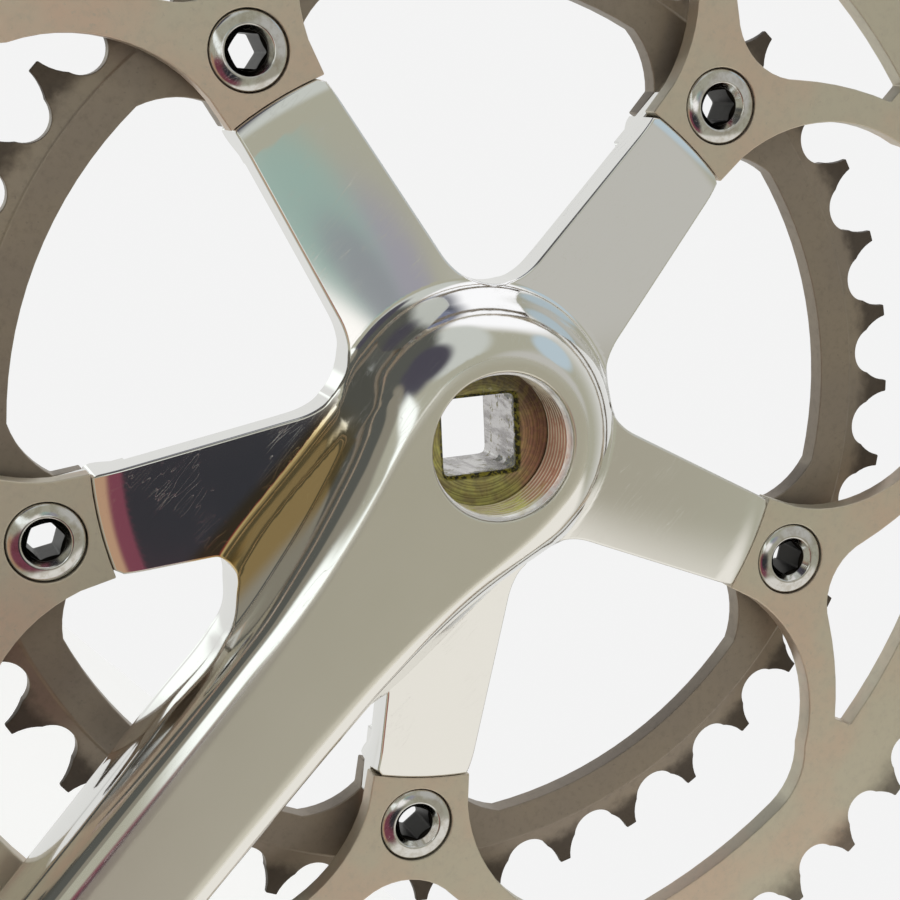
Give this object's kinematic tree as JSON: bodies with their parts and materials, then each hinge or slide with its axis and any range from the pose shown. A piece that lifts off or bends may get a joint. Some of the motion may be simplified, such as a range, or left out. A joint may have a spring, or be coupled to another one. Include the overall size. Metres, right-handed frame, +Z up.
{
  "type": "bicycle crankset",
  "caption": "Drive-side bicycle crankset: forged square-taper crank arm with spider, outer and inner chainrings, chainring bolts and sleeve nuts.",
  "frame": {"origin": "on the spindle axis at the inboard mouth of the square-taper socket", "axes": "+Y along the spindle axis towards the frame (inboard); -Z from the spindle axis to the pedal axis; +Z up; +X to the right when seen from outboard"},
  "size_m": [0.2206, 0.0324, 0.2948],
  "materials": {
    "polished_alloy": "polished, satin on the flat outboard face",
    "champagne_anodised": "satin champagne anodising",
    "grey_anodised": "satin grey-brown anodising",
    "pin_alloy": "turned",
    "chromed_steel": "polished",
    "plated_steel": "bright plated"
  },
  "bodies": {
    "root": {"crank_arm": "polished_alloy", "outer_chainring": "champagne_anodised", "inner_chainring": "grey_anodised", "chain_catch_pin": "pin_alloy"},
    "bolt_1": {"chainring_bolt_1": "chromed_steel"},
    "nut_1": {"chainring_nut_1": "plated_steel"},
    "bolt_2": {"chainring_bolt_2": "chromed_steel"},
    "nut_2": {"chainring_nut_2": "plated_steel"},
    "bolt_3": {"chainring_bolt_3": "chromed_steel"},
    "nut_3": {"chainring_nut_3": "plated_steel"},
    "bolt_4": {"chainring_bolt_4": "chromed_steel"},
    "nut_4": {"chainring_nut_4": "plated_steel"},
    "bolt_5": {"chainring_bolt_5": "chromed_steel"},
    "nut_5": {"chainring_nut_5": "plated_steel"}
  },
  "joints": [
    {"name": "bolt_1_turn", "type": "hinge", "parent": "root", "child": "bolt_1", "pos_m": [0, -0.0047, 0.065], "axis": [0, -1, 0], "range_deg": [0, 2520.5]},
    {"name": "nut_1_travel", "type": "slide", "parent": "root", "child": "nut_1", "axis": [0, 1, 0], "range_m": [0, 0.00525]},
    {"name": "bolt_2_turn", "type": "hinge", "parent": "root", "child": "bolt_2", "pos_m": [-0.06182, -0.0047, 0.02009], "axis": [0, -1, 0], "range_deg": [0, 2520.5]},
    {"name": "nut_2_travel", "type": "slide", "parent": "root", "child": "nut_2", "axis": [0, 1, 0], "range_m": [0, 0.00525]},
    {"name": "bolt_3_turn", "type": "hinge", "parent": "root", "child": "bolt_3", "pos_m": [-0.03821, -0.0047, -0.05259], "axis": [0, -1, 0], "range_deg": [0, 2520.5]},
    {"name": "nut_3_travel", "type": "slide", "parent": "root", "child": "nut_3", "axis": [0, 1, 0], "range_m": [0, 0.00525]},
    {"name": "bolt_4_turn", "type": "hinge", "parent": "root", "child": "bolt_4", "pos_m": [0.03821, -0.0047, -0.05259], "axis": [0, -1, 0], "range_deg": [0, 2520.5]},
    {"name": "nut_4_travel", "type": "slide", "parent": "root", "child": "nut_4", "axis": [0, 1, 0], "range_m": [0, 0.00525]},
    {"name": "bolt_5_turn", "type": "hinge", "parent": "root", "child": "bolt_5", "pos_m": [0.06182, -0.0047, 0.02009], "axis": [0, -1, 0], "range_deg": [0, 2520.5]},
    {"name": "nut_5_travel", "type": "slide", "parent": "root", "child": "nut_5", "axis": [0, 1, 0], "range_m": [0, 0.00525]}
  ],
  "couplings": [
    {"joint": "bolt_1_turn", "follows": "nut_1_travel", "rad_per_m": 8377.6},
    {"joint": "bolt_2_turn", "follows": "nut_2_travel", "rad_per_m": 8377.6},
    {"joint": "bolt_3_turn", "follows": "nut_3_travel", "rad_per_m": 8377.6},
    {"joint": "bolt_4_turn", "follows": "nut_4_travel", "rad_per_m": 8377.6},
    {"joint": "bolt_5_turn", "follows": "nut_5_travel", "rad_per_m": 8377.6}
  ]
}
